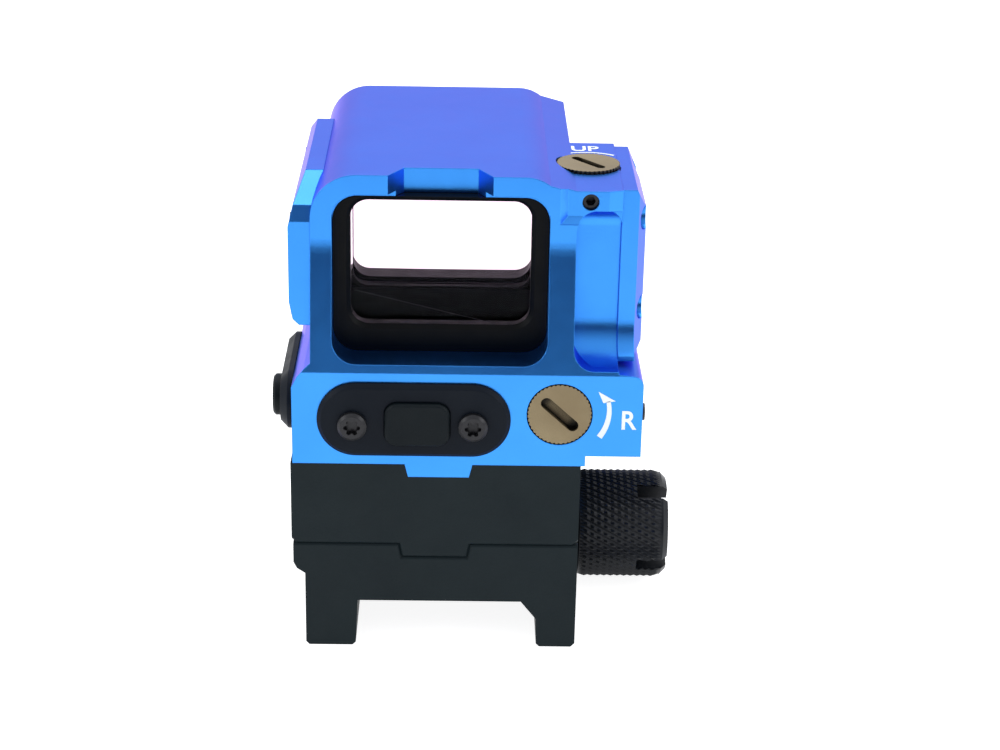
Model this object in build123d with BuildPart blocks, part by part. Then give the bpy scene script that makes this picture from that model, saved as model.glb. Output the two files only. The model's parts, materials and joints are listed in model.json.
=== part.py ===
from build123d import *
import os

os.makedirs("parts", exist_ok=True)

# Compact reflex sight on a riser and a rail clamp. Millimetres, +Z up, +Y along the line
# of sight towards the front lens, +X to the right. The origin is the middle of the flat
# rail seat under the clamp base.

# ---------------------------------------------------------------- driving dimensions
SEAT_Z = 0.0
FOOT_Z = -7.5
BASE_TOP = 9.3
RISER_TOP = 22.2
BLOCK_TOP = 36.3
SLANT_TOP = 53.9
LEDGE_Z = 62.2
HOOD_TOP = 64.4
REAR_Y = -24.0
HOOD_REAR_Y = -20.0
FRONT_Y = 28.7
BASE_END_Y = 24.0
BLOCK_LEFT = -21.1
BLOCK_RIGHT = 29.2
BASE_LEFT = -21.4
BASE_RIGHT = 20.6
HOOD_LEFT = -18.4
HOOD_RIGHT = 19.0
HOOD_ROUND = 6.5
TUNNEL_HALF = 15.35
TUNNEL_LOW = 37.5
TUNNEL_HIGH = 61.6
BORE_HIGH = 60.85
TUNNEL_ROUND = 3.5
FRAME_REAR = -18.1
SCOOP_WALL_Y = -16.5
SCOOP_LOW = 36.9
SCOOP_HIGH = 59.3
SCOOP_FLARE = 5.5
SCOOP_BROW = 2.9
BOX_END_Y = 5.3
COVER_SEAM = 25.6
COVER_FACE = 29.3

# Dials
DIAL_R = 4.6
DIAL_T = 2.4
DIAL_PROUD = 0.45
DIAL_TEETH = 44
DIAL_POCKET_R = 4.75
STEM_R = 2.0
SCREW_R = 1.5
RUN = 0.05
ELEV_X = 21.2
ELEV_Y = -6.3
WIND_X = 17.3
WIND_Z = 30.3

# Buttons
REAR_PLATE_X = -3.6
REAR_PLATE_Z = 29.3
REAR_PLATE_L = 27.8
REAR_PLATE_H = 11.2
REAR_BUTTON_X = -3.1
REAR_BUTTON_Z = 29.0
SIDE_PLATE_Y = -10.4
SIDE_PLATE_Z = 29.8
SIDE_PLATE_L = 23.5
SIDE_PLATE_H = 8.8
SIDE_BUTTON_Y = -16.4

# Optics
LED_Y = -1.0
LED_Z = 50.0
PRISM_HALF = 13.6
PRISM_LOW = 39.3
PRISM_HIGH = 60.3
PRISM_REAR = -15.8
PRISM_FRONT = 14.2

# Clamp
BOLT_Z = 1.6
BOLT_R = 2.6
NUT_R = 8.1
NUT_X0 = 21.3
NUT_X1 = 35.6


def block(x, y, z, mode=Mode.ADD):
    """Cuboid between pairs of faces (low, high) on each axis."""
    middle = ((x[0] + x[1]) / 2, (y[0] + y[1]) / 2, (z[0] + z[1]) / 2)
    with Locations(middle):
        Box(x[1] - x[0], y[1] - y[0], z[1] - z[0], mode=mode)


def rod(axis, centre, radius, low, high, mode=Mode.ADD):
    """Cylinder along X, Y or Z from low to high; centre gives the other two coordinates."""
    middle = (low + high) / 2
    place = {
        "X": (middle, centre[0], centre[1]),
        "Y": (centre[0], middle, centre[1]),
        "Z": (centre[0], centre[1], middle),
    }[axis]
    turn = {"X": (0, 90, 0), "Y": (90, 0, 0), "Z": (0, 0, 0)}[axis]
    with Locations(place):
        Cylinder(radius, high - low, rotation=turn, mode=mode)


def hexagon(axis, centre, across, low, high, mode=Mode.ADD):
    """Hexagonal bar along X or Y; across is measured over the flats."""
    plane = Plane.YZ.offset(low) if axis == "X" else Plane.XZ.offset(-high)
    with BuildSketch(plane) as outline:
        with Locations(centre):
            RegularPolygon(across / 2, 6, major_radius=False)
    extrude(outline.sketch, amount=high - low, mode=mode)


def coil(axis, centre, radius, wire, low, high, turns):
    """Round-wire compression spring along X or Y."""
    start = (low, centre[0], centre[1]) if axis == "X" else (centre[0], low, centre[1])
    direction = (1, 0, 0) if axis == "X" else (0, 1, 0)
    with BuildLine() as path:
        Helix((high - low) / turns, high - low, radius, center=start, direction=direction)
    with BuildSketch(Plane(origin=path.line @ 0, z_dir=path.line % 0)) as section:
        Circle(wire)
    sweep(section.sketch, path=path.line)


# ---------------------------------------------------------------- rail base
RAIL_LEFT = -11.8
RAIL_RIGHT = 12.4
HOOK_HALF_Y = 6.0
JAW_HALF_Y = 7.0
JAW_TOP = 5.0
TONGUE_LEFT = -5.7
TONGUE_RIGHT = 4.7
TONGUE_DEPTH = 2.1
SEAM_BEVEL = 0.3
SPRING_Y = 4.6
SPRING_Z = 2.9
BASE_SCREW_Y = 17.0

with BuildPart() as rail_base:
    with BuildSketch(Plane.XZ.offset(-BASE_END_Y)):
        with BuildLine():
            Polyline(
                (BASE_LEFT + 0.2, BASE_TOP),
                (BASE_LEFT + 0.2, 6.2),
                (BASE_LEFT + 0.7, 5.2),
                (-19.5, 4.4),
                (-19.5, FOOT_Z + 0.5),
                (-19.0, FOOT_Z),
                (-12.6, FOOT_Z),
                (-12.1, FOOT_Z + 0.5),
                (RAIL_LEFT, SEAT_Z),
                (RAIL_RIGHT, SEAT_Z),
                (14.7, -2.9),
                (14.8, FOOT_Z + 0.5),
                (15.3, FOOT_Z),
                (BASE_RIGHT - 0.6, FOOT_Z),
                (BASE_RIGHT, FOOT_Z + 0.6),
                (BASE_RIGHT, BASE_TOP),
                (TONGUE_RIGHT, BASE_TOP),
                (TONGUE_RIGHT - 0.4, BASE_TOP - TONGUE_DEPTH),
                (TONGUE_LEFT + 0.4, BASE_TOP - TONGUE_DEPTH),
                (TONGUE_LEFT, BASE_TOP),
                close=True,
            )
        make_face()
    extrude(amount=2 * BASE_END_Y)
    # Bevelled edges that show as a groove along the joint with the riser
    for end in (0, -1):
        seam = rail_base.faces().sort_by(Axis.Y)[end].edges()
        seam = seam.filter_by_position(Axis.Z, BASE_TOP - TONGUE_DEPTH - 0.1, BASE_TOP + 0.1)
        seam = seam.filter_by_position(Axis.X, BASE_LEFT + 0.5, BASE_RIGHT - 0.2)
        chamfer(seam, SEAM_BEVEL)
    # Fixed hook under the right bevel of the rail
    with BuildSketch(Plane.XZ.offset(-HOOK_HALF_Y)):
        with BuildLine():
            Polyline(
                (14.9, -2.6),
                (11.05, -2.9),
                (8.75, -5.4),
                (8.75, -6.4),
                (14.9, -6.4),
                close=True,
            )
        make_face()
    extrude(amount=2 * HOOK_HALF_Y)
    # Pocket for the sliding jaw, open to the left and below
    block((-24.0, -9.7), (-JAW_HALF_Y - 0.15, JAW_HALF_Y + 0.15), (FOOT_Z - 1, JAW_TOP), Mode.SUBTRACT)
    rod("X", (0, BOLT_Z), BOLT_R + RUN, -12.0, 25.0, Mode.SUBTRACT)
    for y in (-SPRING_Y, SPRING_Y):
        rod("X", (y, SPRING_Z), 1.3, -10.0, -4.4, Mode.SUBTRACT)
    for y in (-BASE_SCREW_Y, BASE_SCREW_Y):
        rod("Z", (0, y), 3.0, SEAT_Z - 1, 3.3, Mode.SUBTRACT)
        rod("Z", (0, y), 1.6, SEAT_Z, BASE_TOP, Mode.SUBTRACT)
rail_base.part.label = "rail_base"
export_step(rail_base.part, "parts/rail_base.step")

with BuildPart() as base_screws:
    for y in (-BASE_SCREW_Y, BASE_SCREW_Y):
        rod("Z", (0, y), 2.8, 0.5, 3.3)
        rod("Z", (0, y), 1.5, 3.3, 17.8)
        with BuildSketch(Plane.XY.offset(0.5)):
            with Locations((0, y)):
                RegularPolygon(1.25, 6, major_radius=False)
        extrude(amount=1.6, mode=Mode.SUBTRACT)
base_screws.part.label = "base_screws"
export_step(base_screws.part, "parts/base_screws.step")

# ---------------------------------------------------------------- sliding jaw and bolt
JAW_FACE = -19.6

with BuildPart() as clamp_jaw:
    with BuildSketch(Plane.XZ.offset(-JAW_HALF_Y)):
        with BuildLine():
            Polyline(
                (JAW_FACE, JAW_TOP - 0.15),
                (-9.9, JAW_TOP - 0.15),
                (-9.9, 0.1),
                (-11.6, 0.1),
                (-11.4, -2.6),
                (-11.05, -2.9),
                (-8.75, -5.4),
                (-8.75, -6.4),
                (-12.3, -7.0),
                (JAW_FACE + 0.6, -7.0),
                (JAW_FACE, -6.4),
                close=True,
            )
        make_face()
    extrude(amount=2 * JAW_HALF_Y)
    rod("X", (0, BOLT_Z), 3.15, JAW_FACE - 1, JAW_FACE + 2.6, Mode.SUBTRACT)
    rod("X", (0, BOLT_Z), BOLT_R + 0.02, JAW_FACE, -9.0, Mode.SUBTRACT)
clamp_jaw.part.label = "clamp_jaw"
export_step(clamp_jaw.part, "parts/clamp_jaw.step")

with BuildPart() as clamp_bolt:
    rod("X", (0, BOLT_Z), 3.1, JAW_FACE + 0.1, JAW_FACE + 2.6)
    rod("X", (0, BOLT_Z), BOLT_R, JAW_FACE + 2.6, 30.6)
    hexagon("X", (0, BOLT_Z), 2.5, JAW_FACE + 0.1, JAW_FACE + 1.9, Mode.SUBTRACT)
    chamfer(clamp_bolt.faces().sort_by(Axis.X)[-1].edges(), 0.4)
clamp_bolt.part.label = "clamp_bolt"
export_step(clamp_bolt.part, "parts/clamp_bolt.step")

with BuildPart() as jaw_springs:
    for y in (-SPRING_Y, SPRING_Y):
        coil("X", (y, SPRING_Z), 0.95, 0.2, -9.6, -4.7, 5)
jaw_springs.part.label = "jaw_springs"
export_step(jaw_springs.part, "parts/jaw_springs.step")

# ---------------------------------------------------------------- thumb nut
NUT_MOUTH = 29.6
SLOT_DEPTH = 4.8
SLOT_WIDTH = 2.3

with BuildPart() as thumb_nut:
    rod("X", (0, BOLT_Z), NUT_R, NUT_X0, NUT_X1)
    chamfer(thumb_nut.edges().filter_by(GeomType.CIRCLE).group_by(Axis.X)[-1], 0.8)
    chamfer(thumb_nut.edges().filter_by(GeomType.CIRCLE).group_by(Axis.X)[0], 0.5)
    rod("X", (0, BOLT_Z), BOLT_R + RUN, NUT_X0 - 1, NUT_MOUTH + 1, Mode.SUBTRACT)
    rod("X", (0, BOLT_Z), 5.2, NUT_MOUTH, NUT_X1 + 1, Mode.SUBTRACT)
    for turn in (28, 118):
        with Locations(Location((NUT_X1 - SLOT_DEPTH / 2, 0, BOLT_Z), (turn, 0, 0))):
            Box(SLOT_DEPTH, SLOT_WIDTH, 2 * NUT_R + 2, mode=Mode.SUBTRACT)
thumb_nut.part.label = "thumb_nut"
export_step(thumb_nut.part, "parts/thumb_nut.step")

with BuildPart() as nut_washer:
    rod("X", (0, BOLT_Z), 6.4, BASE_RIGHT, BASE_RIGHT + 0.6)
    rod("X", (0, BOLT_Z), BOLT_R + 0.3, BASE_RIGHT - 1, BASE_RIGHT + 1, Mode.SUBTRACT)
nut_washer.part.label = "nut_washer"
export_step(nut_washer.part, "parts/nut_washer.step")

# ---------------------------------------------------------------- riser
RISER_SCREWS = [(x, y) for x in (-12.0, 12.0) for y in (-18.0, 18.0)]
TOP_TONGUE = 4.9

with BuildPart() as riser:
    with BuildSketch(Plane.XZ.offset(-BASE_END_Y)):
        with BuildLine():
            Polyline(
                (BASE_LEFT, RISER_TOP),
                (BASE_LEFT, BASE_TOP + 0.7),
                (BASE_LEFT + 0.7, BASE_TOP),
                (TONGUE_LEFT, BASE_TOP),
                (TONGUE_LEFT + 0.4, BASE_TOP - TONGUE_DEPTH),
                (TONGUE_RIGHT - 0.4, BASE_TOP - TONGUE_DEPTH),
                (TONGUE_RIGHT, BASE_TOP),
                (BASE_RIGHT - 0.7, BASE_TOP),
                (BASE_RIGHT, BASE_TOP + 0.7),
                (BASE_RIGHT, RISER_TOP),
                (TOP_TONGUE, RISER_TOP),
                (TOP_TONGUE - 0.5, RISER_TOP - 2.0),
                (-TOP_TONGUE + 0.5, RISER_TOP - 2.0),
                (-TOP_TONGUE, RISER_TOP),
                close=True,
            )
        make_face()
    extrude(amount=2 * BASE_END_Y)
    for end in (0, -1):
        seam = riser.faces().sort_by(Axis.Y)[end].edges()
        seam = seam.filter_by_position(Axis.Z, BASE_TOP - TONGUE_DEPTH - 0.1, BASE_TOP + 0.5)
        chamfer(seam, SEAM_BEVEL)
    for place in RISER_SCREWS:
        rod("Z", place, 3.0, BASE_TOP - 1, 13.0, Mode.SUBTRACT)
        rod("Z", place, 1.6, BASE_TOP, RISER_TOP + 1, Mode.SUBTRACT)
    for y in (-BASE_SCREW_Y, BASE_SCREW_Y):
        rod("Z", (0, y), 1.5, BASE_TOP - TONGUE_DEPTH - 1, 18.0, Mode.SUBTRACT)
riser.part.label = "riser"
export_step(riser.part, "parts/riser.step")

with BuildPart() as riser_screws:
    for place in RISER_SCREWS:
        rod("Z", place, 2.8, 10.2, 13.0)
        rod("Z", place, 1.5, 13.0, 24.4)
riser_screws.part.label = "riser_screws"
export_step(riser_screws.part, "parts/riser_screws.step")

# ---------------------------------------------------------------- housing
REAR_POCKET_X = (-10.2, 2.9)
BOARD_POCKET_X = (-14.0, 8.0)
POCKET_Z = (24.9, 33.7)
BAY_X = 11.6
BAY_Z = (26.9, 32.9)
BAY_REAR = 4.5
DRIVE_X = (13.6, 20.4)
DRIVE_Y = (-18.5, 3.4)
CAVITY_X = (16.5, 25.7)
CAVITY_Y = (-12.0, 3.0)
CAVITY_Z = (41.5, 57.6)
FORK_SLOT_X = (17.2, 20.4)
FORK_SLOT_Y = (-3.8, 3.0)
COVER_SCREWS = [(-14.7, 57.2), (2.0, 59.0), (-14.7, 43.6), (2.0, 39.9)]
SIDE_SCREWS = [(y, z) for y in (-16.6, 16.0) for z in (44.2, 56.0)]
REAR_SCREW_X = (-12.4, 4.9)
REAR_SCREW_Z = 28.7
KEY_SCREW_Y = (-10.6, -2.2)
LOCK_X = 21.0
LOCK_Z = 60.6
WIND_LOCK_Y = -22.7
WIND_LOCK_Z = 30.4

# Recess beside the window, with rounded top and bottom
with BuildPart() as scoop_cutter:
    with BuildSketch(Plane.XZ.offset(26)) as scoop_outline:
        with Locations((24.6, (SCOOP_LOW + SCOOP_HIGH) / 2)):
            Rectangle(11.0, SCOOP_HIGH - SCOOP_LOW)
        fillet(scoop_outline.vertices().group_by(Axis.X)[0], 3.0)
    extrude(amount=-(26 + SCOOP_WALL_Y))
    with BuildSketch(Plane.YZ.offset(18)):
        with BuildLine():
            Line((-27, SCOOP_LOW), (SCOOP_WALL_Y - SCOOP_FLARE, SCOOP_LOW))
            RadiusArc(
                (SCOOP_WALL_Y - SCOOP_FLARE, SCOOP_LOW),
                (SCOOP_WALL_Y, SCOOP_LOW + SCOOP_FLARE),
                -SCOOP_FLARE,
            )
            Line((SCOOP_WALL_Y, SCOOP_LOW + SCOOP_FLARE), (SCOOP_WALL_Y, SCOOP_HIGH - SCOOP_BROW))
            RadiusArc(
                (SCOOP_WALL_Y, SCOOP_HIGH - SCOOP_BROW),
                (SCOOP_WALL_Y - SCOOP_BROW, SCOOP_HIGH),
                -SCOOP_BROW,
            )
            Polyline((SCOOP_WALL_Y - SCOOP_BROW, SCOOP_HIGH), (-27, SCOOP_HIGH), (-27, SCOOP_LOW))
        make_face()
    extrude(amount=14, mode=Mode.INTERSECT)

# The lip over the recess sits back from the window frame
with BuildPart() as lip_cutter:
    with BuildSketch(Plane.XY.offset(57.6)):
        with BuildLine():
            Polyline(
                (16.6, HOOD_REAR_Y - 0.1),
                (17.8, -19.0),
                (23.6, -19.0),
                (25.7, -18.3),
                (25.7, -24.0),
                (16.6, -24.0),
                close=True,
            )
        make_face()
    extrude(amount=8)
    low_edges = lip_cutter.faces().sort_by(Axis.Z)[0].edges()
    chamfer(low_edges.filter_by(Axis.X).sort_by(Axis.Y)[-1:], 0.9)

with BuildPart() as housing:
    # Lower block, with the tongue that locates it on the riser
    with BuildSketch(Plane.XZ.offset(-FRONT_Y)):
        with BuildLine():
            Polyline(
                (HOOD_LEFT, 37.6),
                (-19.3, 36.8),
                (-20.3, 35.6),
                (BLOCK_LEFT, 34.0),
                (BLOCK_LEFT, RISER_TOP),
                (-TOP_TONGUE, RISER_TOP),
                (-TOP_TONGUE + 0.5, RISER_TOP - 2.0),
                (TOP_TONGUE - 0.5, RISER_TOP - 2.0),
                (TOP_TONGUE, RISER_TOP),
                (21.2, RISER_TOP),
                (21.2, 23.8),
                (BLOCK_RIGHT, 23.8),
                (BLOCK_RIGHT, BLOCK_TOP - 1.5),
            )
            RadiusArc((BLOCK_RIGHT, BLOCK_TOP - 1.5), (BLOCK_RIGHT - 1.5, BLOCK_TOP), -1.5)
            Polyline((BLOCK_RIGHT - 1.5, BLOCK_TOP), (16.0, 37.6), (HOOD_LEFT, 37.6))
        make_face()
    extrude(amount=FRONT_Y - REAR_Y)
    # The control side of the block is shorter than the hood
    with BuildSketch(Plane.XY.offset(RISER_TOP - 3)):
        with BuildLine():
            Polyline((34, 8), (27, 8), (20.6, 14), (20.6, 34), (34, 34), close=True)
        make_face()
    extrude(amount=20, mode=Mode.SUBTRACT)
    # Hood
    with BuildSketch(Plane.XZ.offset(-FRONT_Y)):
        with BuildLine():
            Line((HOOD_LEFT, 35), (HOOD_LEFT, HOOD_TOP - HOOD_ROUND))
            RadiusArc(
                (HOOD_LEFT, HOOD_TOP - HOOD_ROUND),
                (HOOD_LEFT + HOOD_ROUND, HOOD_TOP),
                HOOD_ROUND,
            )
            Line((HOOD_LEFT + HOOD_ROUND, HOOD_TOP), (12.0, HOOD_TOP))
            ThreePointArc((12.0, HOOD_TOP), (13.9, 64.0), (15.3, 63.2))
            Polyline(
                (15.3, 63.2),
                (HOOD_RIGHT, LEDGE_Z),
                (HOOD_RIGHT, 35),
                (HOOD_LEFT, 35),
            )
        make_face()
    extrude(amount=FRONT_Y - REAR_Y)
    # Box for the adjusting mechanism on the right
    block((15.6, COVER_SEAM), (REAR_Y, BOX_END_Y), (35.0, LEDGE_Z))
    # Sloping rear of the window frame, turning upright near the top
    with BuildSketch(Plane.YZ.offset(-45)) as slant:
        with BuildLine():
            Polyline(
                (REAR_Y - 6, BLOCK_TOP),
                (REAR_Y, BLOCK_TOP),
                (HOOD_REAR_Y, SLANT_TOP),
                (HOOD_REAR_Y, 70),
                (REAR_Y - 6, 70),
                close=True,
            )
        make_face()
        fillet(slant.vertices().sort_by_distance((HOOD_REAR_Y, SLANT_TOP, 0))[0], 9)
    extrude(amount=90, mode=Mode.SUBTRACT)
    add(lip_cutter.part, mode=Mode.SUBTRACT)
    add(scoop_cutter.part, mode=Mode.SUBTRACT)
    # Rounded top corner of the recess, under the right end of the lip
    with BuildSketch(Plane.XZ.offset(18.3)):
        with BuildLine():
            Polyline((23.1, 59.3), (23.1, 59.6), (COVER_SEAM, 59.6), (COVER_SEAM, 56.8))
            ThreePointArc((COVER_SEAM, 56.8), (24.868, 58.568), (23.1, 59.3))
        make_face()
    extrude(amount=-2.0)
    # Sight tunnel: a rear recess, then a bore with a slightly lower ceiling
    with BuildSketch(Plane.XZ.offset(30)):
        with Locations((0, (TUNNEL_LOW + TUNNEL_HIGH) / 2)):
            RectangleRounded(2 * TUNNEL_HALF, TUNNEL_HIGH - TUNNEL_LOW, TUNNEL_ROUND)
    extrude(amount=-(30 + FRAME_REAR), mode=Mode.SUBTRACT)
    with BuildSketch(Plane.XZ.offset(30)):
        with Locations((0, (TUNNEL_LOW + BORE_HIGH) / 2)):
            RectangleRounded(2 * TUNNEL_HALF, BORE_HIGH - TUNNEL_LOW, TUNNEL_ROUND)
    extrude(amount=-70, mode=Mode.SUBTRACT)
    # Relief in the middle of the top bar
    with BuildSketch(Plane.XY.offset(BORE_HIGH)):
        with BuildLine():
            Polyline(
                (-7.6, HOOD_REAR_Y - 1),
                (-7.5, HOOD_REAR_Y),
                (-5.3, -16.1),
                (5.2, -16.1),
                (7.3, HOOD_REAR_Y),
                (7.4, HOOD_REAR_Y - 1),
                close=True,
            )
        make_face()
    extrude(amount=8, mode=Mode.SUBTRACT)
    # Rear switch pocket, board pocket and side switch pocket
    block(REAR_POCKET_X, (REAR_Y - 1, -15.0), POCKET_Z, Mode.SUBTRACT)
    block(BOARD_POCKET_X, (-19.0, -2.0), POCKET_Z, Mode.SUBTRACT)
    block((BLOCK_LEFT - 1, -13.5), (-19.4, -13.4), (26.8, 32.8), Mode.SUBTRACT)
    # Battery bay and the wire passage behind it
    block((-BAY_X, BAY_X), (BAY_REAR, FRONT_Y + 1), BAY_Z, Mode.SUBTRACT)
    block((-3, 3), (-3, BAY_REAR + 1), (28, 31), Mode.SUBTRACT)
    # Windage space below, open underneath, and the fork slot above it
    block(DRIVE_X, DRIVE_Y, (RISER_TOP - 1, 35.6), Mode.SUBTRACT)
    block(FORK_SLOT_X, FORK_SLOT_Y, (34.0, CAVITY_Z[0] + 1), Mode.SUBTRACT)
    # Emitter space, open to the right
    block(CAVITY_X, CAVITY_Y, CAVITY_Z, Mode.SUBTRACT)
    rod("X", (LED_Y, LED_Z), 2.4, 14.0, 17.0, Mode.SUBTRACT)
    # Elevation and windage dial pockets
    rod("Z", (ELEV_X, ELEV_Y), DIAL_POCKET_R, LEDGE_Z - DIAL_T - 0.4, LEDGE_Z + 1, Mode.SUBTRACT)
    rod("Z", (ELEV_X, ELEV_Y), STEM_R + RUN, 56.0, 61.0, Mode.SUBTRACT)
    rod("Y", (WIND_X, WIND_Z), DIAL_POCKET_R, REAR_Y - 1, REAR_Y + DIAL_T + 0.4, Mode.SUBTRACT)
    rod("Y", (WIND_X, WIND_Z), STEM_R + RUN, REAR_Y, -18.0, Mode.SUBTRACT)
    # Lock screw holes
    rod("Y", (LOCK_X, LOCK_Z), 1.2, -20.0, -10.0, Mode.SUBTRACT)
    rod("X", (WIND_LOCK_Y, WIND_LOCK_Z), 1.0, 21.0, 31.0, Mode.SUBTRACT)
    # Threaded holes for covers and plates
    for place in COVER_SCREWS:
        rod("X", place, 1.0, 22.8, 27.0, Mode.SUBTRACT)
    for place in SIDE_SCREWS:
        rod("X", place, 1.0, HOOD_LEFT - 1, -16.3, Mode.SUBTRACT)
    for x in REAR_SCREW_X:
        rod("Y", (x, REAR_SCREW_Z), 1.0, REAR_Y - 1, -19.4, Mode.SUBTRACT)
    for y in KEY_SCREW_Y:
        rod("X", (y, SIDE_PLATE_Z), 0.8, BLOCK_LEFT - 1, -17.6, Mode.SUBTRACT)
    for place in RISER_SCREWS:
        rod("Z", place, 1.5, RISER_TOP - 1, 24.5, Mode.SUBTRACT)
housing.part.label = "housing"
export_step(housing.part, "parts/housing.step")

# ---------------------------------------------------------------- covers and plates
with BuildPart() as mechanism_cover:
    block(
        (DRIVE_X[0] + 0.05, DRIVE_X[1] - 0.05),
        (DRIVE_Y[0] + 0.05, DRIVE_Y[1] - 0.05),
        (RISER_TOP + 0.05, RISER_TOP + 1.25),
    )
mechanism_cover.part.label = "mechanism_cover"
export_step(mechanism_cover.part, "parts/mechanism_cover.step")

with BuildPart() as left_side_plate:
    with BuildSketch(Plane.XZ.offset(-24.0)):
        with BuildLine():
            Polyline(
                (-17.0, 61.95),
                (-19.6, 61.95),
                (-20.9, 59.4),
                (-21.6, 56.4),
                (-21.6, 45.2),
                (-21.1, 42.6),
                (-20.2, 41.7),
                (HOOD_LEFT, 41.7),
                (HOOD_LEFT, HOOD_TOP - HOOD_ROUND),
                close=True,
            )
        make_face()
    extrude(amount=43.2)
    hood_corner = (HOOD_LEFT + HOOD_ROUND, HOOD_TOP - HOOD_ROUND)
    rod("Y", hood_corner, HOOD_ROUND, -25.0, 30.0, Mode.SUBTRACT)
    # Upper corners fall away towards the rear and the front
    with BuildSketch(Plane.YZ.offset(-26)):
        with BuildLine():
            Polyline(
                (-20, 57.2),
                (-19.2, 57.2),
                (-18.5, 59.5),
                (-9.5, 61.9),
                (-9.5, 63),
                (-20, 63),
                close=True,
            )
        make_face()
        with BuildLine():
            Polyline((17.5, 62.0), (24.5, 58.0), (24.5, 63), (17.5, 63), close=True)
        make_face()
    extrude(amount=20, mode=Mode.SUBTRACT)
    for y, z in SIDE_SCREWS:
        rod("X", (y, z), 1.05, -23.0, -18.0, Mode.SUBTRACT)
        rod("X", (y, z), 1.8, -23.0, -20.3, Mode.SUBTRACT)
left_side_plate.part.label = "left_side_plate"
export_step(left_side_plate.part, "parts/left_side_plate.step")

with BuildPart() as side_plate_screws:
    for y, z in SIDE_SCREWS:
        rod("X", (y, z), 1.75, -21.4, -20.3)
        rod("X", (y, z), 0.98, -20.3, -16.5)
        hexagon("X", (y, z), 1.5, -21.4, -20.6, Mode.SUBTRACT)
side_plate_screws.part.label = "side_plate_screws"
export_step(side_plate_screws.part, "parts/side_plate_screws.step")

COVER_Y = (-19.8, 4.8)
COVER_STEP = 0.7
HEAD_SEAT_X = 27.3
HEAD_TOP_X = 28.2

with BuildPart() as right_cover:
    with BuildSketch(Plane.XZ.offset(-COVER_Y[1])):
        with BuildLine():
            Polyline(
                (COVER_SEAM, 37.0),
                (28.4, 37.0),
                (COVER_FACE, 38.2),
                (COVER_FACE, 58.4),
                (27.7, 61.9),
                (COVER_SEAM, 61.9),
                close=True,
            )
        make_face()
    extrude(amount=COVER_Y[1] - COVER_Y[0])
    # The recess runs on across the rear of the cover, which has no lip above it
    add(scoop_cutter.part.moved(Location((0, -COVER_STEP, 0))), mode=Mode.SUBTRACT)
    block((25, 31), (COVER_Y[0] - 1, SCOOP_WALL_Y - COVER_STEP), (50, 63), Mode.SUBTRACT)
    # Rounded outer corners in plan
    with BuildSketch(Plane.XY.offset(36)):
        with BuildLine():
            Polyline(
                (28.0, SCOOP_WALL_Y - 5),
                (28.0, SCOOP_WALL_Y - COVER_STEP),
                (COVER_FACE, -14.2),
                (31, -14.2),
                (31, SCOOP_WALL_Y - 5),
                close=True,
            )
        make_face()
        with BuildLine():
            Polyline((28.2, 4.8), (COVER_FACE, 3.4), (31, 3.4), (31, 6), (28.2, 6), close=True)
        make_face()
    extrude(amount=28, mode=Mode.SUBTRACT)
    for y, z in COVER_SCREWS:
        rod("X", (y, z), 1.05, 25.0, 30.0, Mode.SUBTRACT)
        rod("X", (y, z), 1.8, HEAD_SEAT_X, 30.0, Mode.SUBTRACT)
    rod("Z", (ELEV_X, ELEV_Y), DIAL_POCKET_R, LEDGE_Z - DIAL_T - 0.4, LEDGE_Z + 1, Mode.SUBTRACT)
right_cover.part.label = "right_cover"
export_step(right_cover.part, "parts/right_cover.step")

with BuildPart() as cover_screws:
    for y, z in COVER_SCREWS:
        rod("X", (y, z), 1.75, HEAD_SEAT_X, HEAD_TOP_X)
        rod("X", (y, z), 0.98, 23.0, HEAD_SEAT_X)
        hexagon("X", (y, z), 1.5, HEAD_TOP_X - 0.7, HEAD_TOP_X, Mode.SUBTRACT)
cover_screws.part.label = "cover_screws"
export_step(cover_screws.part, "parts/cover_screws.step")

# ---------------------------------------------------------------- optics
FRAME_DEPTH = 2.2

with BuildPart() as rear_lens_frame:
    with BuildSketch(Plane.XZ.offset(-FRAME_REAR)):
        with Locations((0, (TUNNEL_LOW + BORE_HIGH) / 2)):
            RectangleRounded(2 * TUNNEL_HALF - 0.1, BORE_HIGH - TUNNEL_LOW - 0.1, TUNNEL_ROUND)
        with Locations((0, 50.8)):
            RectangleRounded(25.7, 18.6, 2.6, mode=Mode.SUBTRACT)
    extrude(amount=-FRAME_DEPTH)
    inner = rear_lens_frame.edges().filter_by_position(Axis.Y, FRAME_REAR - 0.01, FRAME_REAR + 0.01)
    inner = inner.filter_by_position(Axis.X, -13.0, 13.0)
    inner = inner.filter_by_position(Axis.Z, 41.0, 60.3)
    chamfer(inner, 0.6)
rear_lens_frame.part.label = "rear_lens_frame"
export_step(rear_lens_frame.part, "parts/rear_lens_frame.step")

# The splitter plane stands at 45 degrees in plan, facing the emitter and the front lens
SEAM_GAP = 0.02

with BuildPart() as prism_rear:
    with BuildSketch(Plane.XY.offset(PRISM_LOW)):
        with BuildLine():
            Polyline(
                (-PRISM_HALF, PRISM_REAR),
                (PRISM_HALF, PRISM_REAR),
                (PRISM_HALF, LED_Y - PRISM_HALF - SEAM_GAP),
                (-PRISM_HALF, LED_Y + PRISM_HALF - SEAM_GAP),
                close=True,
            )
        make_face()
    extrude(amount=PRISM_HIGH - PRISM_LOW)
prism_rear.part.label = "prism_rear"
export_step(prism_rear.part, "parts/prism_rear.step")

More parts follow.
